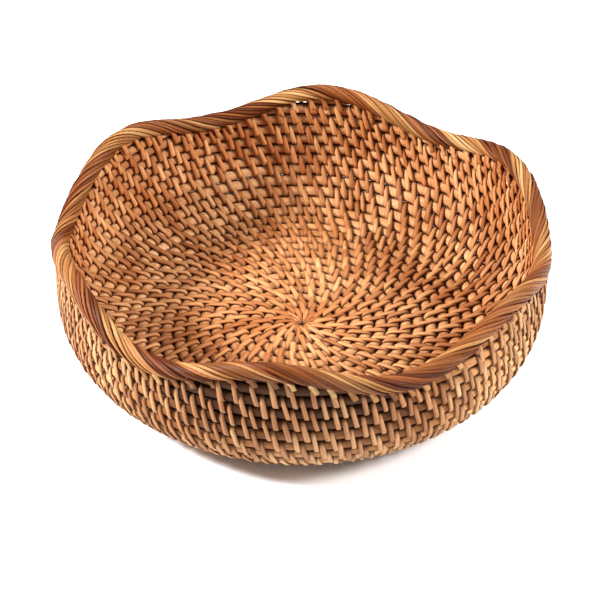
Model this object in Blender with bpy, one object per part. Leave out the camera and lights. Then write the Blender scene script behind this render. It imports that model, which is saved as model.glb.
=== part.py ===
"""Coiled rattan bread basket with a wavy wrapped rim.

One spiral of cane makes the flat base, the rounded corner and the side. Short rows of the same
cane fill the six raised waves of the edge. A rim cane lies on top of them, and 28 bundles of
split strips, alternately straw-coloured and reddish brown, are wrapped over it as a border.

Angles run counter-clockwise from above and start at the front, -Y. Lengths are in metres.
"""

import math

import bmesh
import bpy
from mathutils import Vector

# Driving dimensions
RIM_RADIUS = 0.106
RIM_HEIGHT = 0.0580
WAVES = 6
WAVE_RISE = 0.0057
FIRST_CREST = math.radians(-6.5)
ROW_PITCH = 0.0058
SIDE_RADIUS = 0.1068
CORNER_RADIUS = 0.0289
SIDE_CURVE_RADIUS = 0.424
GAP = 0.0004
SPLICE_GAP = 0.0016

# Cane of the rows with its lashing: six-sided, points towards the neighbouring rows, flats in
# and out
CANE_SIDES = 6
CANE_HALF_WIDTH = (ROW_PITCH - GAP) / 2
CANE_HALF_THICKNESS = 0.00285
BASE_RADIUS = SIDE_RADIUS - CORNER_RADIUS

# The cane spirals evenly on the base. Towards the side each turn becomes level, and steps up
# to the next row over a short stretch that climbs to the crest at the left
LEVEL_START = 5.0
LEVEL_END = 21.0
STEP_END = (FIRST_CREST - math.tau / WAVES) / math.tau
STEP_SHARE = 1 / (2 * WAVES)
LEVEL_OFFSET = 0.36

# Points round one turn: few where the spiral is tight, more beyond
TIGHT_TURNS = 2.0
TIGHT_POINTS = 15
WIDE_POINTS = 30

# Turns, counted from the centre, at which the spiral starts and its lengths are spliced. Each
# splice is at a regular point, so that neighbouring rows have their corners side by side.
FIRST_TURN = 9 / TIGHT_POINTS
LENGTHS = {
    "base_coil_inner": 6 + 10 / WIDE_POINTS,
    "base_coil_middle": 10 + 18 / WIDE_POINTS,
    "base_coil_outer": 13 + 13 / WIDE_POINTS,
    "corner_coil_lower": 15 + 21 / WIDE_POINTS,
    "corner_coil_middle": 18 + 4 / WIDE_POINTS,
    "corner_coil_upper": 20 + 12 / WIDE_POINTS,
    "side_coil_lower": 22 + 17 / WIDE_POINTS,
}
TOP_COIL = "side_coil_upper"
LAST_TURN = 28.0
THINNEST_ROW = 0.35

# Rim cane and its wrapping
RIM_CANE_RADIUS = 0.0022
RIM_POINTS = 72
RIM_CLEARANCE = 0.0008
WRAP_INNER_RADIUS = 0.00305
WRAP_OUTER_RADIUS = 0.00395
WRAP_BUNDLES = 28
WRAP_GAP = 0.0012
WRAP_REACH = math.radians(130.0)
WRAP_ADVANCE = math.radians(22.0)
WRAP_STEPS_ROUND = 8
WRAP_STEPS_ALONG = 3

# Colours, linear
CANE_COLOUR = (0.45, 0.20, 0.085)
DARK_CANE_COLOUR = (0.33, 0.14, 0.06)
STRAW_COLOUR = (0.68, 0.40, 0.17)
RED_BROWN_COLOUR = (0.33, 0.12, 0.045)
CANE_ROUGHNESS = 0.55
STRIP_ROUGHNESS = 0.42


def clear_scene():
    for item in list(bpy.data.objects):
        bpy.data.objects.remove(item, do_unlink=True)


def make_material(name, colour, roughness):
    material = bpy.data.materials.new(name)
    material.use_nodes = True
    shader = material.node_tree.nodes["Principled BSDF"]
    shader.inputs["Base Color"].default_value = (*colour, 1.0)
    shader.inputs["Roughness"].default_value = roughness
    shader.inputs["Metallic"].default_value = 0.0
    return material


def polar(angle, radius, height):
    """Point at an angle from the front, -Y, counter-clockwise from above."""
    return Vector((radius * math.sin(angle), -radius * math.cos(angle), height))


def profile(distance):
    """Radius, height and slope of the row centres at a distance from the basket's centre.

    The profile is a flat base, a quarter circle for the corner and a side that leans
    slightly inwards on a large circle.
    """
    corner_length = CORNER_RADIUS * math.pi / 2
    floor = CANE_HALF_THICKNESS
    if distance <= BASE_RADIUS:
        return distance, floor, 0.0
    if distance <= BASE_RADIUS + corner_length:
        slope = (distance - BASE_RADIUS) / CORNER_RADIUS
        radius = BASE_RADIUS + CORNER_RADIUS * math.sin(slope)
        return radius, floor + CORNER_RADIUS * (1 - math.cos(slope)), slope
    lean = (distance - BASE_RADIUS - corner_length) / SIDE_CURVE_RADIUS
    radius = SIDE_RADIUS - SIDE_CURVE_RADIUS * (1 - math.cos(lean))
    height = floor + CORNER_RADIUS + SIDE_CURVE_RADIUS * math.sin(lean)
    return radius, height, math.pi / 2 + lean


def rim_height(angle):
    return RIM_HEIGHT + WAVE_RISE * math.cos(WAVES * (angle - FIRST_CREST))


def smooth(value):
    """Eases from 0 to 1 as the value runs from 0 to 1."""
    value = min(max(value, 0.0), 1.0)
    return value * value * (3 - 2 * value)


def level_distance(turn):
    """Distance of the cane from the basket's centre, along the profile."""
    level = smooth((turn - LEVEL_START) / (LEVEL_END - LEVEL_START))
    part = (turn - STEP_END) % 1.0
    climb = smooth((part - 1 + STEP_SHARE) / STEP_SHARE)
    return ROW_PITCH * (turn - level * (part - climb - LEVEL_OFFSET))


def ceiling_distance(angle):
    """Distance along the profile at which a row just touches the rim cane."""
    room = RIM_CANE_RADIUS + RIM_CLEARANCE + CANE_HALF_WIDTH
    rise = rim_height(angle) - room - CANE_HALF_THICKNESS - CORNER_RADIUS
    side_start = BASE_RADIUS + CORNER_RADIUS * math.pi / 2
    return side_start + SIDE_CURVE_RADIUS * math.asin(rise / SIDE_CURVE_RADIUS)


def row_place(turn):
    """Distance along the profile and thickness, 0 to 1, of the cane at this turn.

    Where the rim comes down on a row, the cane is pared thinner and squeezed in between
    the rim and the row below.
    """
    distance = level_distance(turn)
    room = (ceiling_distance(turn * math.tau) - distance) / ROW_PITCH + 1
    thickness = min(room, 1.0)
    return distance - (1 - thickness) / 2 * ROW_PITCH, thickness


def turns_of_length(start, end):
    """Turn values of one length's points, with a splice gap left before its end."""
    points_round = TIGHT_POINTS if start < TIGHT_TURNS else WIDE_POINTS
    radius, _, _ = profile(level_distance(end))
    stop = end - SPLICE_GAP / (math.tau * radius)
    values = [start]
    step_number = math.floor(start * points_round) + 1
    while step_number / points_round < stop:
        turn = step_number / points_round
        if turn - values[-1] > 0.3 / points_round and stop - turn > 0.3 / points_round:
            values.append(turn)
        if turn >= TIGHT_TURNS and points_round == TIGHT_POINTS:
            points_round = WIDE_POINTS
            step_number = round(turn * points_round)
        step_number += 1
    values.append(stop)
    return values


def make_section(name, half_width, half_thickness, guides):
    """Six-sided cross-section with its points at the half width and its flats in and out."""
    curve = bpy.data.curves.new(name, "CURVE")
    curve.dimensions = "2D"
    spline = curve.splines.new("POLY")
    spline.points.add(CANE_SIDES - 1)
    flat_place = math.sin(math.tau / CANE_SIDES)
    for number, corner in enumerate(spline.points):
        angle = -math.tau * number / CANE_SIDES
        across = half_width * math.cos(angle)
        through = half_thickness / flat_place * math.sin(angle)
        corner.co = (across, through, 0.0, 1.0)
    spline.use_cyclic_u = True
    section = bpy.data.objects.new(name, curve)
    section.hide_render = True
    section.display_type = "WIRE"
    guides.objects.link(section)
    return section


def make_cane(name, points, tilts, thicknesses, section, material, collection):
    """Cane with this section through the points; a tilt turns the section about the cane."""
    curve = bpy.data.curves.new(name, "CURVE")
    curve.dimensions = "3D"
    curve.twist_mode = "Z_UP"
    curve.bevel_mode = "OBJECT"
    curve.bevel_object = section
    curve.render_resolution_u = 0
    curve.use_fill_caps = True
    spline = curve.splines.new("POLY")
    spline.points.add(len(points) - 1)
    for spline_point, place, tilt, thickness in zip(spline.points, points, tilts, thicknesses):
        spline_point.co = (*place, 1.0)
        spline_point.tilt = tilt
        spline_point.radius = thickness
    curve.materials.append(material)
    cane = bpy.data.objects.new(name, curve)
    collection.objects.link(cane)
    return cane


def make_row(name, turns, section, material, collection):
    """Cane along the spiral through the given turn values."""
    points = []
    tilts = []
    thicknesses = []
    for turn in turns:
        distance, thickness = row_place(turn)
        radius, height, slope = profile(distance)
        points.append(polar(turn * math.tau, radius, height))
        tilts.append(-slope)
        thicknesses.append(thickness)
    return make_cane(name, points, tilts, thicknesses, section, material, collection)


def runs_below_rim(first_turn):
    """Stretches of the spiral, past the last full length, that have room under the rim."""
    fine = WIDE_POINTS * 40
    runs = []
    start = None
    for step in range(round(first_turn * fine), round(LAST_TURN * fine)):
        turn = step / fine
        _, thickness = row_place(turn)
        if thickness >= THINNEST_ROW:
            start = turn if start is None else start
        elif start is not None:
            runs.append((start, turn))
            start = None
    return runs


def make_rows(collection, guides):
    section = make_section("row_section", CANE_HALF_WIDTH, CANE_HALF_THICKNESS, guides)
    cane = make_material("cane", CANE_COLOUR, CANE_ROUGHNESS)
    dark_cane = make_material("side_cane", DARK_CANE_COLOUR, CANE_ROUGHNESS)
    start = FIRST_TURN
    for name, end in LENGTHS.items():
        material = cane if name.startswith("base") else dark_cane
        make_row(name, turns_of_length(start, end), section, material, collection)
        start = end
    runs = runs_below_rim(start)
    make_row(TOP_COIL, turns_of_length(*runs[0]), section, dark_cane, collection)
    rows_at_wave = {}
    for start, end in runs[1:]:
        middle = (start + end) / 2 * math.tau - FIRST_CREST
        wave = round(middle / (math.tau / WAVES)) % WAVES + 1
        rows_at_wave[wave] = rows_at_wave.get(wave, 0) + 1
        name = f"wave_{wave}_short_row_{rows_at_wave[wave]}"
        make_row(name, turns_of_length(start, end), section, dark_cane, collection)


def make_rim_cane(collection, guides):
    """The cane under the border: one ring, its two ends butted at a low point of the edge."""
    butt = FIRST_CREST + math.pi / WAVES
    points = []
    for step in range(RIM_POINTS + 1):
        angle = butt + math.tau * step / RIM_POINTS
        if step == RIM_POINTS:
            angle -= SPLICE_GAP / RIM_RADIUS
        points.append(polar(angle, RIM_RADIUS, rim_height(angle)))
    count = len(points)
    material = make_material("rim_cane", DARK_CANE_COLOUR, CANE_ROUGHNESS)
    tilts, thicknesses = [0.0] * count, [1.0] * count
    half_thickness = RIM_CANE_RADIUS * math.sin(math.tau / CANE_SIDES)
    section = make_section("rim_section", RIM_CANE_RADIUS, half_thickness, guides)
    make_cane("rim_cane", points, tilts, thicknesses, section, material, collection)


def wrap_point(angle, around, radius):
    """Point at a radius round the rim cane; around is 0 on top and positive outwards."""
    slope = -WAVE_RISE * WAVES * math.sin(WAVES * (angle - FIRST_CREST))
    outward = polar(angle, 1.0, 0.0)
    along = Vector((math.cos(angle), math.sin(angle), slope / RIM_RADIUS)).normalized()
    upward = outward.cross(along)
    centre = polar(angle, RIM_RADIUS, rim_height(angle))
    return centre + radius * (math.cos(around) * upward + math.sin(around) * outward)


def make_wrap_bundle(name, first_angle, material, collection):
    """A band that crosses the rim from inside and below to outside and below.

    It starts as a flat slab, one unit each way, and is then laid round the rim cane.
    """
    band = bmesh.new()
    bmesh.ops.create_grid(
        band, x_segments=WRAP_STEPS_ALONG, y_segments=WRAP_STEPS_ROUND, size=0.5
    )
    bmesh.ops.solidify(band, geom=band.faces[:], thickness=1.0)
    width = math.tau / WRAP_BUNDLES - WRAP_GAP / RIM_RADIUS
    for vertex in band.verts:
        across, along, depth = vertex.co
        angle = first_angle + (across + 0.5) * width + along * WRAP_ADVANCE
        radius = WRAP_INNER_RADIUS + abs(depth) * (WRAP_OUTER_RADIUS - WRAP_INNER_RADIUS)
        vertex.co = wrap_point(angle, 2 * along * WRAP_REACH, radius)
    if band.calc_volume(signed=True) < 0:
        bmesh.ops.reverse_faces(band, faces=band.faces[:])
    mesh = bpy.data.meshes.new(name)
    band.to_mesh(mesh)
    band.free()
    mesh.materials.append(material)
    bundle = bpy.data.objects.new(name, mesh)
    collection.objects.link(bundle)
    return bundle


def make_wrapping(collection):
    straw = make_material("straw_strips", STRAW_COLOUR, STRIP_ROUGHNESS)
    red_brown = make_material("red_brown_strips", RED_BROWN_COLOUR, STRIP_ROUGHNESS)
    for number in range(WRAP_BUNDLES):
        light = number % 2 == 0
        shade = "light" if light else "dark"
        name = f"rim_wrap_{shade}_{number // 2 + 1:02d}"
        first_angle = math.tau * number / WRAP_BUNDLES
        make_wrap_bundle(name, first_angle, straw if light else red_brown, collection)


def main():
    clear_scene()
    basket = bpy.data.collections.new("bread_basket")
    guides = bpy.data.collections.new("cross_sections")
    bpy.context.scene.collection.children.link(basket)
    bpy.context.scene.collection.children.link(guides)
    make_rows(basket, guides)
    make_rim_cane(basket, guides)
    make_wrapping(basket)


main()
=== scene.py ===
# %% [markdown]
# # A coiled rattan bread basket
# The basket is one long cane, coiled from the middle of the base to the top of the side. A
# split strip is wound round each row and the row before it, and holds the coil together. A rim
# cane lies on the wavy edge, under a border of straw-coloured and red-brown strips.
# This first cell loads the plain model. It gives the sizes, and each of its parts is then
# replaced with a fine one, except for the rim cane, which the border hides.

# %% Load the plain model
import math
import random
import bpy
import numpy as np
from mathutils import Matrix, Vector


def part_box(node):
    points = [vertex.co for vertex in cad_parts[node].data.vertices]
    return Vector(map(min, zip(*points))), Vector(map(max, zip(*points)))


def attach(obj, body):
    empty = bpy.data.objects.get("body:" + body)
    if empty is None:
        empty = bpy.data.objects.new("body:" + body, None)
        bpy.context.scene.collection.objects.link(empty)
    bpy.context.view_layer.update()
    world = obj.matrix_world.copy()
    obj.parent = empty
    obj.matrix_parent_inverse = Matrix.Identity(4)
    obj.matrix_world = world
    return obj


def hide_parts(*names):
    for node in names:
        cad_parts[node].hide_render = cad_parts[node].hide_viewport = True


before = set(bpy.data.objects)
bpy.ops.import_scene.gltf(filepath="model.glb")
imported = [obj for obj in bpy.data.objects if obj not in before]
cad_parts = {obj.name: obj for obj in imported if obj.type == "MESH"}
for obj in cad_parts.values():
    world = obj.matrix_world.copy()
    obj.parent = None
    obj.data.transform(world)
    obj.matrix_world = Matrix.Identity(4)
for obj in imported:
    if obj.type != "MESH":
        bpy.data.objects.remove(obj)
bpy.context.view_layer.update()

# %% [markdown]
# ## Sizes
# Every size follows from a few facts about the plain model: the rim cane gives the rim's
# radius, height and waves, the lowest row gives the cane's thickness, and the widest row gives
# the side's radius. Lengths are in metres. Angles start at the front, -Y, and run
# counter-clockwise from above. A "turn" counts how far the coil has come from the centre.

# %% Read the sizes off the plain model
RIM_CANE_RADIUS = 0.0022
WAVES = 6
FIRST_CREST = math.radians(-6.5)
ROW_PITCH = 0.0058
CORNER_RADIUS = 0.0289
SIDE_CURVE_RADIUS = 0.424

rim_low, rim_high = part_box("rim_cane")
rim_cane_half_height = RIM_CANE_RADIUS * math.cos(math.pi / 6)
RIM_RADIUS = (rim_high.x - rim_low.x) / 2 - RIM_CANE_RADIUS
RIM_HEIGHT = (rim_high.z + rim_low.z) / 2
WAVE_RISE = (rim_high.z - rim_low.z) / 2 - rim_cane_half_height
base_low, base_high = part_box("base_coil_outer")
ROW_HALF_THICKNESS = (base_high.z - base_low.z) / 2
side_low, side_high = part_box("side_coil_lower")
SIDE_RADIUS = (side_high.x - side_low.x) / 2 - ROW_HALF_THICKNESS
BASE_RADIUS = SIDE_RADIUS - CORNER_RADIUS
SIDE_START = BASE_RADIUS + CORNER_RADIUS * math.pi / 2
print("rim radius", RIM_RADIUS, "height", RIM_HEIGHT, "waves", WAVE_RISE)
print("side radius", SIDE_RADIUS, "row half thickness", ROW_HALF_THICKNESS)

# %% [markdown]
# ## The shape of the coil
# The cane's centre line lies on a profile: a flat base, a quarter circle and a side that leans
# in a little. On the base the cane spirals evenly, as a rope does when it is coiled on a table.
# On the side each turn is level, and steps up to the next row at the left. Where the rim comes
# down on a row, the maker pares the cane thinner, so short rows look like long lenses.
# All of these take and return NumPy arrays, because there are many thousands of points.

# %% Profile, rows and rim as functions
LEVEL_START = 5.0
LEVEL_END = 21.0
STEP_END = (FIRST_CREST - math.tau / WAVES) / math.tau
STEP_SHARE = 1 / (2 * WAVES)
LEVEL_OFFSET = 0.36
ROOM_UNDER_RIM = 0.0057


def smooth(value):
    value = np.clip(value, 0.0, 1.0)
    return value * value * (3 - 2 * value)


def outward_at(angle):
    angle = np.asarray(angle, float)
    return np.stack([np.sin(angle), -np.cos(angle), np.zeros_like(angle)], -1)


UPWARD = np.array([0.0, 0.0, 1.0])


def profile(distance):
    """Radius, height and slope of the row centres at a distance from the centre."""
    slope = np.clip((distance - BASE_RADIUS) / CORNER_RADIUS, 0.0, math.pi / 2)
    radius = np.minimum(distance, BASE_RADIUS) + CORNER_RADIUS * np.sin(slope)
    height = ROW_HALF_THICKNESS + CORNER_RADIUS * (1 - np.cos(slope))
    lean = np.maximum(distance - SIDE_START, 0.0) / SIDE_CURVE_RADIUS
    radius = radius - SIDE_CURVE_RADIUS * (1 - np.cos(lean))
    return radius, height + SIDE_CURVE_RADIUS * np.sin(lean), slope + lean


def rim_height(angle):
    return RIM_HEIGHT + WAVE_RISE * np.cos(WAVES * (angle - FIRST_CREST))


def row_place(turn):
    """Distance along the profile and thickness, 0 to 1, of the cane at this turn."""
    level = smooth((turn - LEVEL_START) / (LEVEL_END - LEVEL_START))
    part = np.mod(turn - STEP_END, 1.0)
    climb = smooth((part - 1 + STEP_SHARE) / STEP_SHARE)
    distance = ROW_PITCH * (turn - level * (part - climb - LEVEL_OFFSET))
    rise = rim_height(turn * math.tau) - ROOM_UNDER_RIM - ROW_HALF_THICKNESS - CORNER_RADIUS
    ceiling = SIDE_START + SIDE_CURVE_RADIUS * np.arcsin(rise / SIDE_CURVE_RADIUS)
    thickness = np.minimum((ceiling - distance) / ROW_PITCH + 1, 1.0)
    return distance - (1 - thickness) / 2 * ROW_PITCH, thickness


def row_frame(turn):
    """Centre, outside direction, climbing direction and thickness of the cane at this turn."""
    turn = np.asarray(turn, float)
    distance, thickness = row_place(turn)
    radius, height, slope = profile(distance)
    outward = outward_at(turn * math.tau)
    centre = radius[..., None] * outward + height[..., None] * UPWARD
    sine, cosine = np.sin(slope)[..., None], np.cos(slope)[..., None]
    return centre, sine * outward - cosine * UPWARD, cosine * outward + sine * UPWARD, thickness


print("side starts at", SIDE_START, "along the profile, at radius", float(profile(SIDE_START)[0]))

# %% [markdown]
# ## Stretches of the coil
# The plain model splits the cane into the lengths that a maker splices, and one short row for
# each place where a wave of the rim leaves room. The same search here finds the same
# stretches, as first and last turn, so each plain part gets a fine one of its own.

# %% Find the spliced lengths and the short rows
POINTS_A_TURN = 30
THINNEST_ROW = 0.35
LAST_TURN = 28.0
FIRST_TURN = 0.6
SEARCH_STEP = 1 / (POINTS_A_TURN * 40)
LENGTH_ENDS = {
    "base_coil_inner": 6 + 10 / POINTS_A_TURN,
    "base_coil_middle": 10 + 18 / POINTS_A_TURN,
    "base_coil_outer": 13 + 13 / POINTS_A_TURN,
    "corner_coil_lower": 15 + 21 / POINTS_A_TURN,
    "corner_coil_middle": 18 + 4 / POINTS_A_TURN,
    "corner_coil_upper": 20 + 12 / POINTS_A_TURN,
    "side_coil_lower": 22 + 17 / POINTS_A_TURN,
}


def find_stretches():
    stretches = {}
    start = FIRST_TURN
    for name, end in LENGTH_ENDS.items():
        stretches[name] = (start, end)
        start = end
    turns = np.arange(start, LAST_TURN, SEARCH_STEP)
    _, thickness = row_place(turns)
    room = np.concatenate([[False], thickness >= THINNEST_ROW, [False]])
    starts = turns[np.flatnonzero(room[1:-1] & ~room[:-2])]
    ends = turns[np.flatnonzero(room[1:-1] & ~room[2:])]
    stretches["side_coil_upper"] = (starts[0], ends[0])
    count = {}
    for first, last in zip(starts[1:], ends[1:]):
        middle = (first + last) / 2 * math.tau - FIRST_CREST
        wave = round(middle / (math.tau / WAVES)) % WAVES + 1
        count[wave] = count.get(wave, 0) + 1
        stretches[f"wave_{wave}_short_row_{count[wave]}"] = (first, last)
    return stretches


STRETCHES = find_stretches()
print(len(STRETCHES), "stretches; missing in the plain model:", set(STRETCHES) - set(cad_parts))

# %% [markdown]
# ## Sweeping canes and strips with Geometry Nodes
# Canes, stitches and rim strips are all the same thing: a small rounded section that follows a
# path. One node tree does it. The paths are chains of points that also store which way the
# strip faces, how broad it is there, how far along it the point is and a random tone.
# Mesh to Curve makes curves of the chains, Set Curve Normal turns the section to face the
# stored way, and Curve to Mesh sweeps it. The section stores its own position "across", so
# that a material can draw fibres along each strip. A curve object with a bevel could sweep
# them too, but it has no stored facing, and flat strips would twist on the steep bends.

# %% Build the sweep tree
def named(nodes, name, kind):
    node = nodes.new("GeometryNodeInputNamedAttribute")
    node.data_type = kind
    node.inputs["Name"].default_value = name
    return node.outputs["Attribute"]


def make_sweep_tree():
    tree = bpy.data.node_groups.new("Sweep a strip along its path", "GeometryNodeTree")
    tree.interface.new_socket("Geometry", in_out="INPUT", socket_type="NodeSocketGeometry")
    tree.interface.new_socket("Half Width", in_out="INPUT", socket_type="NodeSocketFloat")
    tree.interface.new_socket("Half Thickness", in_out="INPUT", socket_type="NodeSocketFloat")
    tree.interface.new_socket("Sides", in_out="INPUT", socket_type="NodeSocketInt")
    tree.interface.new_socket("Material", in_out="INPUT", socket_type="NodeSocketMaterial")
    tree.interface.new_socket("Geometry", in_out="OUTPUT", socket_type="NodeSocketGeometry")
    nodes, link = tree.nodes, tree.links.new
    given, result = nodes.new("NodeGroupInput"), nodes.new("NodeGroupOutput")

    circle = nodes.new("GeometryNodeCurvePrimitiveCircle")
    circle.inputs["Radius"].default_value = 1.0
    link(given.outputs["Sides"], circle.inputs["Resolution"])
    place, parts = nodes.new("GeometryNodeInputPosition"), nodes.new("ShaderNodeSeparateXYZ")
    link(place.outputs["Position"], parts.inputs["Vector"])
    section = circle.outputs["Curve"]
    for name, part in (("across", "Y"), ("face", "X")):
        store = nodes.new("GeometryNodeStoreNamedAttribute")
        store.inputs["Name"].default_value = name
        link(section, store.inputs["Geometry"])
        link(parts.outputs[part], store.inputs["Value"])
        section = store.outputs["Geometry"]
    size, stretch = nodes.new("ShaderNodeCombineXYZ"), nodes.new("GeometryNodeTransform")
    link(given.outputs["Half Thickness"], size.inputs["X"])
    link(given.outputs["Half Width"], size.inputs["Y"])
    link(section, stretch.inputs["Geometry"])
    link(size.outputs["Vector"], stretch.inputs["Scale"])

    curve = nodes.new("GeometryNodeMeshToCurve")
    facing = nodes.new("GeometryNodeSetCurveNormal")
    facing.mode = "FREE"
    sweep = nodes.new("GeometryNodeCurveToMesh")
    sweep.inputs["Fill Caps"].default_value = True
    link(given.outputs["Geometry"], curve.inputs["Mesh"])
    link(curve.outputs["Curve"], facing.inputs["Curve"])
    link(named(nodes, "facing", "FLOAT_VECTOR"), facing.inputs["Normal"])
    link(facing.outputs["Curve"], sweep.inputs["Curve"])
    link(stretch.outputs["Geometry"], sweep.inputs["Profile Curve"])
    link(named(nodes, "breadth", "FLOAT"), sweep.inputs["Scale"])

    rounded = nodes.new("GeometryNodeSetShadeSmooth")
    whole, finish = nodes.new("GeometryNodeRealizeInstances"), nodes.new("GeometryNodeSetMaterial")
    link(sweep.outputs["Mesh"], rounded.inputs["Geometry"])
    link(rounded.outputs["Geometry"], whole.inputs["Geometry"])
    link(whole.outputs["Geometry"], finish.inputs["Geometry"])
    link(given.outputs["Material"], finish.inputs["Material"])
    link(finish.outputs["Geometry"], result.inputs["Geometry"])
    return tree


SWEEP = make_sweep_tree()
print("sweep tree:", len(SWEEP.nodes), "nodes")

# %% [markdown]
# The tree is a modifier of a piece only for a moment. Its result is kept as a plain mesh, so
# the finished piece doesn't depend on the tree and can be exported as it is.

# %% Sweep one piece
def add_attribute(mesh, name, kind, values):
    values = np.ascontiguousarray(values, np.float32)
    field = "vector" if kind == "FLOAT_VECTOR" else "value"
    mesh.attributes.new(name, kind, "POINT").data.foreach_set(field, values.ravel())


def sweep_piece(name, paths, half_width, half_thickness, sides, material):
    """A finished mesh of strips. paths is a list of dicts of arrays, one dict for each strip."""
    points = np.concatenate([path["points"] for path in paths])
    edges = []
    first = 0
    for path in paths:
        count = len(path["points"])
        edges += [(first + i, first + i + 1) for i in range(count - 1)]
        first += count
    mesh = bpy.data.meshes.new(name)
    mesh.from_pydata(points.tolist(), edges, [])
    for field in ("facing", "breadth", "along", "tone", "tuck"):
        kind = "FLOAT_VECTOR" if field == "facing" else "FLOAT"
        add_attribute(mesh, field, kind, np.concatenate([path[field] for path in paths]))
    piece = bpy.data.objects.new(name, mesh)
    bpy.context.scene.collection.objects.link(piece)
    modifier = piece.modifiers.new("sweep", "NODES")
    modifier.node_group = SWEEP
    sizes = {
        "Half Width": half_width, "Half Thickness": half_thickness,
        "Sides": sides, "Material": material,
    }
    for socket in SWEEP.interface.items_tree:
        if socket.in_out == "INPUT" and socket.name in sizes:
            modifier[socket.identifier] = sizes[socket.name]
    graph = bpy.context.evaluated_depsgraph_get()
    made = bpy.data.meshes.new_from_object(piece.evaluated_get(graph))
    piece.modifiers.clear()
    piece.data = made
    made.name = name
    triangles = sum(len(face.vertices) - 2 for face in made.polygons)
    print(f"{name}: {len(paths)} strips, {triangles} triangles")
    return piece


# %% [markdown]
# ## Rattan as a material
# Peeled and split rattan is a bundle of long fibres. It shows fine streaks along the strip,
# slow changes of colour from one stretch to the next, and no two strips have the same tone.
# The streaks are noise, stretched along the strip by reading the stored "along" and "across".
# An image texture would need a layout for each strip, and noise needs none. The nodes sit in
# one shader group, used by every material here with its own numbers. It also gives masks for
# the edges of a strip and for its tucked-in ends, where shade is painted, and for the outside of a
# cane.

# %% Shader group for fibres
TONE_TO_NOISE = 91.0
EDGE_RANGE = (0.55, 1.0)
OUTSIDE_RANGE = (-0.2, 0.2)


def attribute(nodes, name):
    node = nodes.new("ShaderNodeAttribute")
    node.attribute_name = name
    return node.outputs["Fac"]


def math_node(nodes, link, operation, *values):
    node = nodes.new("ShaderNodeMath")
    node.operation = operation
    for socket, value in zip(node.inputs, values):
        if isinstance(value, float):
            socket.default_value = value
        else:
            link(value, socket)
    return node.outputs["Value"]


def fade(nodes, link, value, low, high):
    """0 below low, 1 above high and a smooth step between them."""
    node = nodes.new("ShaderNodeMapRange")
    node.interpolation_type = "SMOOTHSTEP"
    node.inputs["From Min"].default_value = low
    node.inputs["From Max"].default_value = high
    link(value, node.inputs["Value"])
    return node.outputs["Result"]


def make_fibre_group():
    group = bpy.data.node_groups.new("Rattan fibres", "ShaderNodeTree")
    for name in ("Streaks Across", "Streaks Along", "Patch Size"):
        group.interface.new_socket(name, in_out="INPUT", socket_type="NodeSocketFloat")
    for name in ("Streak", "Patch", "Tone", "Tuck", "Edge", "Outside"):
        group.interface.new_socket(name, in_out="OUTPUT", socket_type="NodeSocketFloat")
    nodes, link = group.nodes, group.links.new
    given, result = nodes.new("NodeGroupInput"), nodes.new("NodeGroupOutput")
    across, tone = attribute(nodes, "across"), attribute(nodes, "tone")
    place = nodes.new("ShaderNodeCombineXYZ")
    stretched = math_node(nodes, link, "MULTIPLY", across, given.outputs["Streaks Across"])
    link(stretched, place.inputs["X"])
    stretched = math_node(
        nodes, link, "MULTIPLY", attribute(nodes, "along"), given.outputs["Streaks Along"]
    )
    link(stretched, place.inputs["Y"])
    link(math_node(nodes, link, "MULTIPLY", tone, TONE_TO_NOISE), place.inputs["Z"])
    streak = nodes.new("ShaderNodeTexNoise")
    streak.inputs["Scale"].default_value = 1.0
    streak.inputs["Detail"].default_value = 4.0
    streak.inputs["Roughness"].default_value = 0.6
    link(place.outputs["Vector"], streak.inputs["Vector"])
    where, patch = nodes.new("ShaderNodeTexCoord"), nodes.new("ShaderNodeTexNoise")
    patch.inputs["Detail"].default_value = 2.0
    link(where.outputs["Object"], patch.inputs["Vector"])
    link(given.outputs["Patch Size"], patch.inputs["Scale"])
    edge = math_node(nodes, link, "ABSOLUTE", across)
    link(streak.outputs["Fac"], result.inputs["Streak"])
    link(patch.outputs["Fac"], result.inputs["Patch"])
    link(tone, result.inputs["Tone"])
    # Tuck marks the tucked-in ends, where shade is painted, with some grime.
    link(attribute(nodes, "tuck"), result.inputs["Tuck"])
    # Edge marks the sides of a strip, where shade is painted.
    link(fade(nodes, link, edge, *EDGE_RANGE), result.inputs["Edge"])
    link(fade(nodes, link, attribute(nodes, "face"), *OUTSIDE_RANGE), result.inputs["Outside"])
    return group


FIBRES = make_fibre_group()
print("fibre group:", len(FIBRES.nodes), "nodes")

# %% [markdown]
# A finish is then a short list of choices: the colours that a strip's tone picks from, how
# dark its edges and tucked-in ends are, how fine its streaks are and how glossy its skin is.
# Ends and edges are painted darker: painted shade for the deep gaps of the weave, with some grime at
# the tucked-in ends.
# A cane has two colours, because the outside of the basket has aged to a darker brown.

# %% Helper for the finishes
WHITE = (1.0, 1.0, 1.0)
STREAK_SHADE = (0.62, 0.45, 0.32)
PATCH_SHADE = (0.76, 0.58, 0.44)
# Painted shade, with some grime, for tucked-in ends.
GAP_SHADE_AND_GRIME = (0.09, 0.022, 0.005)
# Painted shade for the grooves between rows and for the edges of strips.
GROOVE_SHADE = (0.13, 0.034, 0.008)
STRIP_EDGE_SHADE = (0.52, 0.30, 0.17)
BORDER_EDGE_SHADE = (0.36, 0.17, 0.08)
STREAK_RANGE = (0.30, 0.56)
PATCH_RANGE = (0.36, 0.60)
PATCH_SIZE = 30.0
SHADE_STRENGTH = 0.8
SHEEN_LEVEL = 0.12
ROUGHER = 0.12
SMOOTHER = 0.08
RELIEF_DEPTH = 0.0003


def mix_colours(nodes, link, mode, factor, first, second):
    """Mix two colours. A colour Mix node has them at inputs 6 and 7, and its result at output 2."""
    node = nodes.new("ShaderNodeMix")
    node.data_type = "RGBA"
    node.blend_type = mode
    sockets = (node.inputs["Factor"], node.inputs[6], node.inputs[7])
    for socket, value in zip(sockets, (factor, first, second)):
        if isinstance(value, tuple):
            socket.default_value = (*value, 1.0)
        elif isinstance(value, float):
            socket.default_value = value
        else:
            link(value, socket)
    return node.outputs[2]


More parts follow.
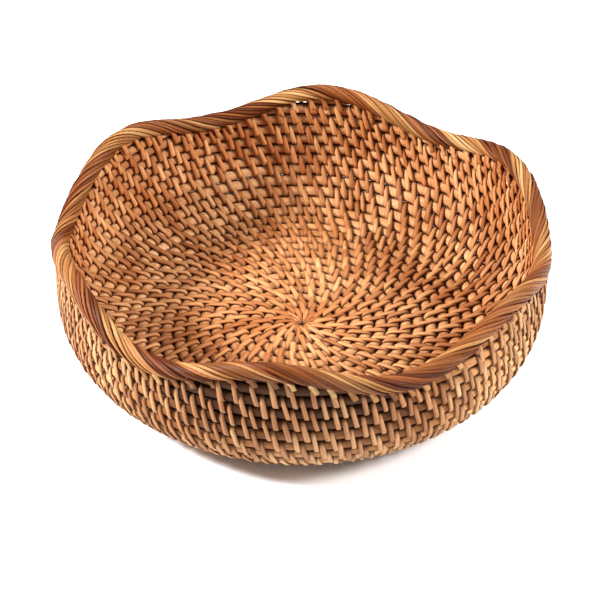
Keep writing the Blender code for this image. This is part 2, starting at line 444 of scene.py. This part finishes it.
def ramp(nodes, link, value, stops):
    node = nodes.new("ShaderNodeValToRGB")
    elements = node.color_ramp.elements
    while len(elements) < len(stops):
        elements.new(0.5)
    for element, (position, colour) in zip(elements, stops):
        element.position = position
        element.color = (*colour, 1.0)
    link(value, node.inputs["Fac"])
    return node.outputs["Color"]


def spread(tones):
    return [(number / (len(tones) - 1), tone) for number, tone in enumerate(tones)]


def rattan(name, tones, streaks, edge, outside_tones=None, *, roughness, bump):
    """tones run from dark to light, streaks are across and along, edge is the colour of the painted
    shade at the edges.
    """
    material = bpy.data.materials.new(name)
    material.use_nodes = True
    nodes, link = material.node_tree.nodes, material.node_tree.links.new
    shader = nodes["Principled BSDF"]
    shader.inputs["Specular IOR Level"].default_value = SHEEN_LEVEL
    fibres = nodes.new("ShaderNodeGroup")
    fibres.node_tree = FIBRES
    fibres.inputs["Streaks Across"].default_value = streaks[0]
    fibres.inputs["Streaks Along"].default_value = streaks[1]
    fibres.inputs["Patch Size"].default_value = PATCH_SIZE
    colour = ramp(nodes, link, fibres.outputs["Tone"], spread(tones))
    if outside_tones:
        outer = ramp(nodes, link, fibres.outputs["Tone"], spread(outside_tones))
        colour = mix_colours(nodes, link, "MIX", fibres.outputs["Outside"], colour, outer)
    streak = ramp(nodes, link, fibres.outputs["Streak"], list(zip(STREAK_RANGE, (STREAK_SHADE, WHITE))))
    colour = mix_colours(nodes, link, "MULTIPLY", SHADE_STRENGTH, colour, streak)
    patch = ramp(nodes, link, fibres.outputs["Patch"], list(zip(PATCH_RANGE, (PATCH_SHADE, WHITE))))
    colour = mix_colours(nodes, link, "MULTIPLY", SHADE_STRENGTH, colour, patch)
    # Painted shade darkens the edges of each strip.
    colour = mix_colours(nodes, link, "MULTIPLY", fibres.outputs["Edge"], colour, edge)
    # Painted shade, with some grime, darkens the tucked-in ends.
    colour = mix_colours(nodes, link, "MULTIPLY", fibres.outputs["Tuck"], colour, GAP_SHADE_AND_GRIME)
    link(colour, shader.inputs["Base Color"])
    gloss = nodes.new("ShaderNodeMapRange")
    gloss.inputs["To Min"].default_value = roughness + ROUGHER
    gloss.inputs["To Max"].default_value = roughness - SMOOTHER
    link(fibres.outputs["Streak"], gloss.inputs["Value"])
    link(gloss.outputs["Result"], shader.inputs["Roughness"])
    relief = nodes.new("ShaderNodeBump")
    relief.inputs["Strength"].default_value = bump
    relief.inputs["Distance"].default_value = RELIEF_DEPTH
    link(fibres.outputs["Streak"], relief.inputs["Height"])
    link(relief.outputs["Normal"], shader.inputs["Normal"])
    return material


masks = [socket.name for socket in FIBRES.interface.items_tree if socket.in_out == "OUTPUT"]
print("a finish is mixed with these masks:", masks)

# %% [markdown]
# The cane of the base has one finish, and the cane above it another, with a darker outside.
# Inside, the lashing is orange tan on the floor and in the corner. On the side, the lashing and
# the inside of the cane are brightened copies of the floor's, as painted light on the walls.
# Outside it is straw-coloured. The border has two finishes of its own. Every finish has a
# list of tones, because strips that are all of one colour look like plastic.

# %% The seven finishes
CANE_STREAKS = (3.0, 130.0)
LASHING_STREAKS = (4.0, 160.0)
BORDER_STREAKS = (5.0, 60.0)
CANE_SKIN = {"roughness": 0.55, "bump": 0.5}
LASHING_SKIN = {"roughness": 0.45, "bump": 0.4}
BORDER_SKIN = {"roughness": 0.40, "bump": 0.5}

floor_cane = rattan(
    "cane_pale_tan", [(0.30, 0.122, 0.043), (0.41, 0.186, 0.072), (0.50, 0.258, 0.114)],
    CANE_STREAKS, GROOVE_SHADE, [(0.34, 0.16, 0.07), (0.50, 0.26, 0.12)], **CANE_SKIN,
)
# The inside tones of side_cane are brightened, as painted light on the inner walls.
side_cane = rattan(
    "cane_two_faces", [(0.38, 0.160, 0.060), (0.53, 0.26, 0.108), (0.67, 0.380, 0.184)],
    CANE_STREAKS, GROOVE_SHADE,
    [(0.06, 0.022, 0.006), (0.28, 0.122, 0.041), (0.74, 0.425, 0.190)], **CANE_SKIN,
)
floor_strip = rattan(
    "lashing_orange_tan", [(0.33, 0.130, 0.046), (0.45, 0.202, 0.077), (0.60, 0.318, 0.140)],
    LASHING_STREAKS, STRIP_EDGE_SHADE, **LASHING_SKIN,
)
# side_strip is the floor lashing brightened, as painted light on the inner walls.
side_strip = rattan(
    "lashing_tan_brightened", [(0.46, 0.175, 0.060), (0.64, 0.29, 0.110), (0.82, 0.47, 0.220)],
    LASHING_STREAKS, STRIP_EDGE_SHADE, **LASHING_SKIN,
)
outer_strip = rattan(
    "lashing_straw_tan", [(0.32, 0.155, 0.070), (0.48, 0.265, 0.125), (0.64, 0.420, 0.220)],
    LASHING_STREAKS, STRIP_EDGE_SHADE, **LASHING_SKIN,
)
straw = rattan(
    "straw_strip",
    [(0.175, 0.061, 0.017), (0.29, 0.126, 0.039), (0.41, 0.215, 0.075), (0.56, 0.355, 0.160)],
    BORDER_STREAKS, BORDER_EDGE_SHADE, **BORDER_SKIN,
)
red_brown = rattan(
    "red_brown_strip",
    [(0.072, 0.018, 0.004), (0.120, 0.033, 0.007), (0.195, 0.060, 0.016), (0.31, 0.118, 0.036)],
    BORDER_STREAKS, BORDER_EDGE_SHADE, **BORDER_SKIN,
)
finishes = (floor_cane, side_cane, floor_strip, side_strip, outer_strip, straw, red_brown)
print("finishes:", [finish.name for finish in finishes])

# %% [markdown]
# ## The canes
# Each length of cane is an oval rod along its stretch of the coil. It is a little flatter than
# the room between its neighbours, because the lashing strips lie on both of its faces.
# The maker pares the very first end thin, so that it curls up tight in the middle. One rod
# could serve for the whole coil. Eight lengths and eleven short rows are used, because a
# real basket is spliced from lengths, and each one can then be picked up by its name.
# Each cane's tone is stored on its points: it falls a little towards the rim, it falls most
# high on the front of the outside, as painted shade under the rim, and it wanders along the cane.

# %% Make the canes
STRIP_THICKNESS = 0.00062
CANE_HALF_WIDTH = 0.00284
CANE_HALF_THICKNESS = ROW_HALF_THICKNESS - STRIP_THICKNESS
CANE_SIDES = 12
CANE_STEP = 0.0026
FEWEST_CANE_POINTS = 8
PARED_START = 0.25
PARED_LENGTH = 0.45
PARED_BREADTH = 0.4
# Painted shade under the rim on the front of the outside: where it starts, where it is full, and how
# strong it is.
RIM_SHADE_LOW_HEIGHT = 0.019
RIM_SHADE_FULL_HEIGHT = 0.042
FRONT_SHARPNESS = 6
FLOOR_TONE = 0.90
TONE_FALL = 6.0
CANE_RIM_SHADE = 0.72
TONE_WANDER = 0.3
WANDER_WAVES = (19, 47)


def length_along(points):
    steps = np.linalg.norm(np.diff(points, axis=0), axis=1)
    return np.concatenate([[0], np.cumsum(steps)])


def rim_shade(angle, height):
    """How much painted shade the rim casts on the outside: most at the front, high up on the side."""
    front = np.clip(np.cos(angle), 0.0, 1.0) ** FRONT_SHARPNESS
    share = (height - RIM_SHADE_LOW_HEIGHT) / (RIM_SHADE_FULL_HEIGHT - RIM_SHADE_LOW_HEIGHT)
    return front * np.clip(share, 0.0, 1.0)


def cane_path(first, last):
    radius, _, _ = profile(row_place(np.array((first + last) / 2))[0])
    count = max(FEWEST_CANE_POINTS, int((last - first) * math.tau * float(radius) / CANE_STEP))
    turn = np.linspace(PARED_START if first == FIRST_TURN else first, last, count)
    centre, outside, _, thickness = row_frame(turn)
    grown = smooth((turn - PARED_START) / PARED_LENGTH)
    length = length_along(centre)
    height = centre[:, 2]
    # The tone falls by painted shade under the rim, high on the front of the outside.
    tone = FLOOR_TONE - TONE_FALL * height - CANE_RIM_SHADE * rim_shade(turn * math.tau, height)
    tone += TONE_WANDER * np.sin(length * WANDER_WAVES[0] + first) * np.sin(length * WANDER_WAVES[1])
    breadth = thickness * (PARED_BREADTH + (1 - PARED_BREADTH) * grown)
    # The thin first end gets painted shade through tuck, for the dark eye in the middle.
    return {
        "points": centre, "facing": outside, "breadth": breadth,
        "along": length, "tone": tone, "tuck": 1 - grown,
    }


canes = {}
for name, (first, last) in STRETCHES.items():
    material = floor_cane if name.startswith("base") else side_cane
    canes[name] = sweep_piece(
        name + "_cane", [cane_path(first, last)],
        CANE_HALF_WIDTH, CANE_HALF_THICKNESS, CANE_SIDES, material,
    )

# %% [markdown]
# ## Where the stitches go
# A stitch goes over two rows: the new one and the one before it. The maker starts each new
# stitch in the gap between two stitches of the row before, which gives the brick-like pattern,
# and slips in an extra one when the gaps have grown too wide. The same rule is used here: each
# stitch steps one pitch along the cane, pulled to just past the middle of the gap below it.
# An even spacing would be simpler, but its stitches would line up in some rows and drift
# apart in others. Near the centre the stitches crowd together like the spokes of a wheel.

# %% Place the stitches
STITCH_PITCH = 0.0074
SPOKES = 13
FIRST_STITCH = 0.2
ROW_SHIFT = 0.08
GAP_PULL = 0.45
LARGEST_PULL = 0.3
WIDEST_GAP = 3
UNEVEN_STEP = 0.09


def row_radius(turn):
    return float(profile(row_place(np.array(turn))[0])[0])


def place_stitches(shift, seed):
    """Turn values of the stitches of one face, in order, for each stretch."""
    chance = random.Random(seed)
    known = []
    placed = {}
    for name, (first, last) in STRETCHES.items():
        placed[name] = []
        turn = first + FIRST_STITCH / SPOKES
        while turn < last:
            placed[name].append(turn)
            known.append(turn)
            step = min(1 / SPOKES, STITCH_PITCH / (math.tau * row_radius(turn)))
            below = turn + step - 1
            near = np.searchsorted(known, below)
            if 0 < near < len(known) and known[near] - known[near - 1] < WIDEST_GAP * step:
                gap = (known[near] + known[near - 1]) / 2 + shift * step
                miss = gap - below
                miss -= round(miss / step) * step
                step += max(-LARGEST_PULL, min(LARGEST_PULL, GAP_PULL * miss / step)) * step
            turn += step * (1 + chance.uniform(-UNEVEN_STEP, UNEVEN_STEP))
        known.sort()
    return placed


outside_stitches = place_stitches(ROW_SHIFT, 11)
inside_stitches = place_stitches(ROW_SHIFT, 12)
print("stitches outside", sum(map(len, outside_stitches.values())))
print("stitches inside", sum(map(len, inside_stitches.values())))

# %% [markdown]
# ## The shape of a stitch
# A stitch comes up out of the gap above the new row, bends over it, and goes straight over the
# row before into the next gap. So its path follows the upper side of one rod and then the
# lower side of the other. It leans a little. Inside the basket it is narrow where it comes up
# and broad and proud where it goes down, like a drop. Outside it is more even.
# The first stitches have no row before them, so they run in to the middle like spokes, and
# narrow on the way. Under the base the stitches are pressed flat, level with the table.

# %% Make one stitch
OVER_ROD = np.radians([84, 60, 34, 6])
ROD_SIDE = ROW_PITCH / 2
DROP_BREADTH = np.array([0.40, 0.54, 0.74, 0.90, 1.08, 1.14, 1.02, 0.60])
EVEN_BREADTH = np.array([0.58, 0.72, 0.80, 0.84, 0.88, 0.90, 0.90, 0.80])
MOST_LIFT = 0.00040
STITCH_LIFT = np.array([0.0, 0.0, 0.1, 0.3, 0.7, 1.0, 0.7, 0.0]) * MOST_LIFT
# STITCH_TUCK is where painted shade darkens a stitch's tucked-in ends.
STITCH_TUCK = np.array([1.0, 0.75, 0.30, 0.06, 0.0, 0.0, 0.15, 1.0])
STITCH_HALF_WIDTH = 0.00138
STITCH_HALF_THICKNESS = 0.00044
STITCH_SIDES = 6
OUTSIDE_LEAN = 0.0023
INSIDE_LEAN = 0.0032
LEAN_RANGE = (0.7, 1.3)
SMALLEST_LEAN_RADIUS = 0.012
CLIMB_FACING = 0.8
BREADTH_RANGE = (0.84, 1.14)
FULL_BREADTH_RADIUS = 0.0064
NARROWEST = 0.14
EYE_RADIUS = 0.0009
# How strongly painted shade under the rim darkens the outside stitches at the front.
STITCH_RIM_SHADE = 0.60


def stitch_path(turn, side, chance):
    """One strip over the rows at turn and at the turn before. side is 1 outside, -1 inside."""
    count = len(STITCH_LIFT)
    radius = row_radius(turn)
    two_rows = turn - 1 >= FIRST_TURN
    rows = np.where(np.arange(count) < count // 2, 0, 1 if two_rows else 0)
    bend = np.concatenate([OVER_ROD, -OVER_ROD[::-1]])
    if not two_rows:
        bend = np.linspace(OVER_ROD[0], -OVER_ROD[0], count)
    height = np.sin(bend) / 2 - rows
    share = (height[0] - height) / (height[0] - height[-1]) - 0.5
    lean = (OUTSIDE_LEAN if side > 0 else -INSIDE_LEAN) * chance.uniform(*LEAN_RANGE)
    along_turn = turn + share * lean / (math.tau * max(radius, SMALLEST_LEAN_RADIUS))
    centre, outside, climb, thickness = row_frame(along_turn - rows)
    reach = (CANE_HALF_THICKNESS * thickness + STRIP_THICKNESS / 2 + STITCH_LIFT)[:, None]
    rod_side = (ROD_SIDE * thickness)[:, None]
    sine, cosine = np.sin(bend)[:, None], np.cos(bend)[:, None]
    if not two_rows:
        rod_side = np.where(sine < 0, radius - EYE_RADIUS, ROD_SIDE)
    points = centre + side * reach * cosine * outside + rod_side * sine * climb
    points[:, 2] = np.maximum(points[:, 2], STITCH_HALF_THICKNESS)
    facing = side * cosine * outside + CLIMB_FACING * sine * climb
    from_axis = np.hypot(points[:, 0], points[:, 1])
    room = np.clip(from_axis / FULL_BREADTH_RADIUS, NARROWEST, 1.0)
    shape = EVEN_BREADTH if side > 0 else DROP_BREADTH
    tone = chance.random()
    # Outside stitches get the same painted shade under the rim at the front.
    if side > 0:
        tone *= 1 - STITCH_RIM_SHADE * rim_shade(turn * math.tau, points[0, 2])
    breadth = shape * room * chance.uniform(*BREADTH_RANGE)
    return {
        "points": points, "facing": facing, "breadth": breadth,
        "along": length_along(points) + chance.random(),
        "tone": np.full(count, tone), "tuck": STITCH_TUCK,
    }


sample = stitch_path(LENGTH_ENDS["side_coil_lower"], 1, random.Random(1))
print("a stitch on the side is", float(length_along(sample["points"])[-1]), "m long")

# %% [markdown]
# There are nearly three thousand stitches. As separate objects they would be slow to handle,
# and nobody moves one stitch alone. So all stitches of one region and face become one piece.

# %% Make the lashing
def stitch_piece(name, placed, stretches, side, material, seed):
    chance = random.Random(seed)
    paths = [stitch_path(turn, side, chance) for part in stretches for turn in placed[part]]
    return sweep_piece(name, paths, STITCH_HALF_WIDTH, STITCH_HALF_THICKNESS, STITCH_SIDES, material)


BASE_PARTS = [name for name in STRETCHES if name.startswith("base")]
CORNER_PARTS = [name for name in STRETCHES if name.startswith("corner")]
TOP_PARTS = [name for name in STRETCHES if name.startswith(("side", "wave"))]
lashings = [
    stitch_piece("floor_lashing", inside_stitches, BASE_PARTS, -1, floor_strip, 21),
    stitch_piece("underside_lashing", outside_stitches, BASE_PARTS, 1, outer_strip, 22),
    stitch_piece("corner_lashing_inside", inside_stitches, CORNER_PARTS, -1, floor_strip, 23),
    stitch_piece("corner_lashing_outside", outside_stitches, CORNER_PARTS, 1, outer_strip, 24),
    stitch_piece("side_lashing_inside", inside_stitches, TOP_PARTS, -1, side_strip, 25),
    stitch_piece("side_lashing_outside", outside_stitches, TOP_PARTS, 1, outer_strip, 26),
]

# %% [markdown]
# ## The border
# The border is wound from flat strips, laid side by side at a shallow angle. Each comes up from
# inside the basket, crosses the rim cane and goes down outside. Six strips make a bundle, and
# the bundles are straw-coloured and red-brown by turns. The strips overlap a little, like
# shingles, so each one is tilted about its own line and some lie higher than others. A
# twisted rope with a striped texture would be quicker, but its outline would be too smooth.

# %% Make the rim strips
BUNDLES = 28
STRIPS_A_BUNDLE = 6
STRIPS = BUNDLES * STRIPS_A_BUNDLE
WRAP_RADIUS = 0.0034
WRAP_ADVANCE = math.radians(22.0)
WRAP_REACH = math.radians(130.0)
RIM_STRIP_HALF_WIDTH = 0.00100
RIM_STRIP_HALF_THICKNESS = 0.00050
RIM_STRIP_SIDES = 8
WRAP_POINTS = 15
HIDDEN_FROM = math.radians(112.0)
HIDDEN_FADE = math.radians(45.0)
SPACING_SPREAD = 0.18
LIFT_RANGE = (-0.00015, 0.00030)
ADVANCE_RANGE = (0.92, 1.08)
TONE_SPREAD = 0.42
TILT_RANGE = (0.05, 0.5)
RIM_BREADTH_RANGE = (0.75, 1.2)
BUNDLE_TONE_RANGE = (0.35, 0.7)


def rim_point(angle, out, rise):
    level = (RIM_RADIUS + out)[..., None] * outward_at(angle)
    return level + (rim_height(angle) + rise)[..., None] * UPWARD


def tilted(points, facing, tilt):
    """Turn the way a strip faces by an angle about its own line."""
    ahead = np.gradient(points, axis=0)
    ahead /= np.linalg.norm(ahead, axis=1)[:, None]
    return facing * math.cos(tilt) + np.cross(ahead, facing) * math.sin(tilt)


def rim_strip_path(number, bundle_tone, chance):
    spacing = chance.uniform(-SPACING_SPREAD, SPACING_SPREAD)
    middle = math.tau * (number + 0.5 + spacing) / STRIPS
    radius = WRAP_RADIUS + chance.uniform(*LIFT_RANGE)
    share = np.linspace(-0.5, 0.5, WRAP_POINTS)
    around = 2 * share * WRAP_REACH
    angle = middle + share * WRAP_ADVANCE * chance.uniform(*ADVANCE_RANGE)
    points = rim_point(angle, radius * np.sin(around), radius * np.cos(around))
    facing = np.sin(around)[:, None] * outward_at(angle) + np.cos(around)[:, None] * UPWARD
    tone = min(1.0, max(0.0, bundle_tone + chance.uniform(-TONE_SPREAD, TONE_SPREAD)))
    return {
        "points": points, "facing": tilted(points, facing, chance.uniform(*TILT_RANGE)),
        "breadth": np.full(WRAP_POINTS, chance.uniform(*RIM_BREADTH_RANGE)),
        "along": length_along(points) + chance.random(), "tone": np.full(WRAP_POINTS, tone),
        # The ends that go under, into the weave, get painted shade.
        "tuck": smooth((np.abs(around) - HIDDEN_FROM) / HIDDEN_FADE),
    }


chance = random.Random(31)
border = {}
for bundle in range(BUNDLES):
    shade, material = ("light", straw) if bundle % 2 == 0 else ("dark", red_brown)
    node = f"rim_wrap_{shade}_{bundle // 2 + 1:02d}"
    bundle_tone = chance.uniform(*BUNDLE_TONE_RANGE)
    paths = [
        rim_strip_path(bundle * STRIPS_A_BUNDLE + strip, bundle_tone, chance)
        for strip in range(STRIPS_A_BUNDLE)
    ]
    border[node] = sweep_piece(
        f"{node}_strips", paths,
        RIM_STRIP_HALF_WIDTH, RIM_STRIP_HALF_THICKNESS, RIM_STRIP_SIDES, material,
    )

# %% [markdown]
# ## Tying the border down
# Every other strip of the border ends in a hook: it bends down from the rim, crosses the top
# row and goes into the gap below. The hooks keep a little of the slant of the border at first
# and then turn to lean like the stitches. There is about one for each stitch of the top row,
# outside and inside. The ones inside reach a little further down. They could be longer
# strips of the border, but as pieces of their own they are easier to count and to colour.

# %% Make the hooks
HOOKS = 84
HOOK_AROUND = np.radians([106, 120, 134])
HOOK_RADIUS = np.array([0.0027, 0.0036, 0.0038])
HOOK_SLANT = 0.35
HOOK_RISE = np.array([-0.0038, -0.0048, -0.0062, -0.0074])
HOOK_CLEARANCE = 0.0004
HOOK_OUT = np.array([1.05, 1.0, 1.0, 0.5]) * (CANE_HALF_THICKNESS + HOOK_CLEARANCE)
HOOK_LEAN = np.linspace(0.25, 1.0, len(HOOK_RISE))
HOOK_BREADTH = np.array([0.5, 0.85, 1.0, 1.05, 1.1, 1.05, 0.7])
# HOOK_TUCK is where painted shade darkens a hook's tucked-in end.
HOOK_TUCK = np.array([0.1, 0.0, 0.0, 0.15, 0.0, 0.15, 1.0])
INSIDE_HOOK_REACH = 1.25
HOOK_SPACING_SPREAD = 0.15
HOOK_BREADTH_RANGE = (0.85, 1.15)


def hook_path(number, side, chance):
    spacing = chance.uniform(-HOOK_SPACING_SPREAD, HOOK_SPACING_SPREAD)
    start = math.tau * (number + 0.5 + spacing) / HOOKS
    slant = side * HOOK_SLANT * HOOK_AROUND * WRAP_ADVANCE / (2 * WRAP_REACH)
    down = side * HOOK_LEAN * OUTSIDE_LEAN / RIM_RADIUS
    angle = start + np.concatenate([slant, slant[-1] + down])
    hook_rise = HOOK_RISE * (1.0 if side > 0 else INSIDE_HOOK_REACH)
    height = rim_height(angle[len(slant):]) + hook_rise
    lean = np.arcsin((height - ROW_HALF_THICKNESS - CORNER_RADIUS) / SIDE_CURVE_RADIUS)
    wall = SIDE_RADIUS - SIDE_CURVE_RADIUS * (1 - np.cos(lean)) - RIM_RADIUS
    out = np.concatenate([side * HOOK_RADIUS * np.sin(HOOK_AROUND), wall + side * HOOK_OUT])
    rise = np.concatenate([HOOK_RADIUS * np.cos(HOOK_AROUND), hook_rise])
    points = rim_point(angle, out, rise)
    sine = np.concatenate([np.sin(HOOK_AROUND), np.ones(len(HOOK_RISE))])[:, None]
    facing = side * sine * outward_at(angle) + (1 - sine) * UPWARD
    breadth = HOOK_BREADTH * chance.uniform(*HOOK_BREADTH_RANGE)
    return {
        "points": points, "facing": facing, "breadth": breadth,
        "along": length_along(points) + chance.random(),
        "tone": np.full(len(points), chance.random()), "tuck": HOOK_TUCK,
    }


def hook_piece(name, side, material, seed):
    chance = random.Random(seed)
    paths = [hook_path(number, side, chance) for number in range(HOOKS)]
    return sweep_piece(name, paths, STITCH_HALF_WIDTH, STITCH_HALF_THICKNESS, STITCH_SIDES, material)


lashings.append(hook_piece("border_hooks_outside", 1, straw, 41))
lashings.append(hook_piece("border_hooks_inside", -1, side_strip, 39))

# %% [markdown]
# ## Joining the pieces to the model
# Nothing on a basket moves, so every piece rides on the one body. Each fine cane replaces its
# plain length and each bundle of strips its plain bundle. The plain rim cane stays, because
# only slits between the strips let it show, and it is given the red-brown finish.


for node, piece in [*canes.items(), *border.items()]:
    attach(piece, "root")
    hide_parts(node)
for piece in lashings:
    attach(piece, "root")
rim_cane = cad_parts["rim_cane"]
rim_cane.data.materials.clear()
rim_cane.data.materials.append(red_brown)
print(len(canes) + len(border), "pieces replace plain ones,", len(lashings), "are added")

# %% [markdown]
# ## Floor
# The basket stands on a sheet of white paper, and nothing draws the eye away from the weave.
# A plane is enough for it. It is part of the stage and not of the basket.

# %% Floor
bpy.ops.mesh.primitive_plane_add(size=12.0)
floor = bpy.context.object
floor.name = "floor"
paper = bpy.data.materials.new("white_paper")
paper.use_nodes = True
paper.node_tree.nodes["Principled BSDF"].inputs["Base Color"].default_value = (0.9, 0.9, 0.9, 1.0)
paper.node_tree.nodes["Principled BSDF"].inputs["Roughness"].default_value = 0.9
floor.data.materials.append(paper)
print("floor at height", floor.location.z)

# %% [markdown]
# ## Light
# A weave needs light from the side: it leaves the gaps dark and rounds every strip. The
# stronger softbox stands at the left, a weaker one at the right, and one behind lifts the rim.
# A grey sky fills the shadows. The Standard view keeps the warm colours of the rattan as
# they are, where the default view would wash them out.

# %% Light
SKY_STRENGTH = 0.40
bpy.context.scene.view_settings.view_transform = "Standard"
world = bpy.data.worlds.new("soft_studio")
world.use_nodes = True
world.node_tree.nodes["Background"].inputs["Color"].default_value = (1.0, 1.0, 1.0, 1.0)
world.node_tree.nodes["Background"].inputs["Strength"].default_value = SKY_STRENGTH
bpy.context.scene.world = world


def add_softbox(name, place, size, power):
    lamp = bpy.data.lights.new(name, "AREA")
    lamp.size = size
    lamp.energy = power
    box = bpy.data.objects.new(name, lamp)
    box.location = place
    box.rotation_mode = "QUATERNION"
    box.rotation_quaternion = Vector(place).to_track_quat("Z", "Y")
    bpy.context.scene.collection.objects.link(box)
    print(name, power, "W, at", place)


add_softbox("softbox_left", (-1.0, -0.10, 0.85), size=0.25, power=40.0)
add_softbox("softbox_right", (1.0, -0.20, 0.75), size=0.35, power=22.0)
add_softbox("softbox_back", (0.2, 0.9, 1.2), size=0.35, power=7.0)

# %% [markdown]
# ## Camera
# The camera stands in front and looks down at about 39 degrees through a long lens, so the
# near and far waves of the rim look almost the same size.

# %% Camera
CAMERA_DISTANCE = 0.813
CAMERA_ELEVATION = math.radians(38.8)
CAMERA_PITCH = math.radians(37.8)
CAMERA_YAW = math.radians(0.07)
camera_data = bpy.data.cameras.new("camera")
camera_data.lens = 105.9
camera_data.clip_start = 0.05
camera = bpy.data.objects.new("camera", camera_data)
bpy.context.scene.collection.objects.link(camera)
camera.location = (
    0.0, -CAMERA_DISTANCE * math.cos(CAMERA_ELEVATION), CAMERA_DISTANCE * math.sin(CAMERA_ELEVATION)
)
camera.rotation_euler = (math.pi / 2 - CAMERA_PITCH, 0.0, CAMERA_YAW)
bpy.context.scene.camera = camera
print("camera at", tuple(camera.location))
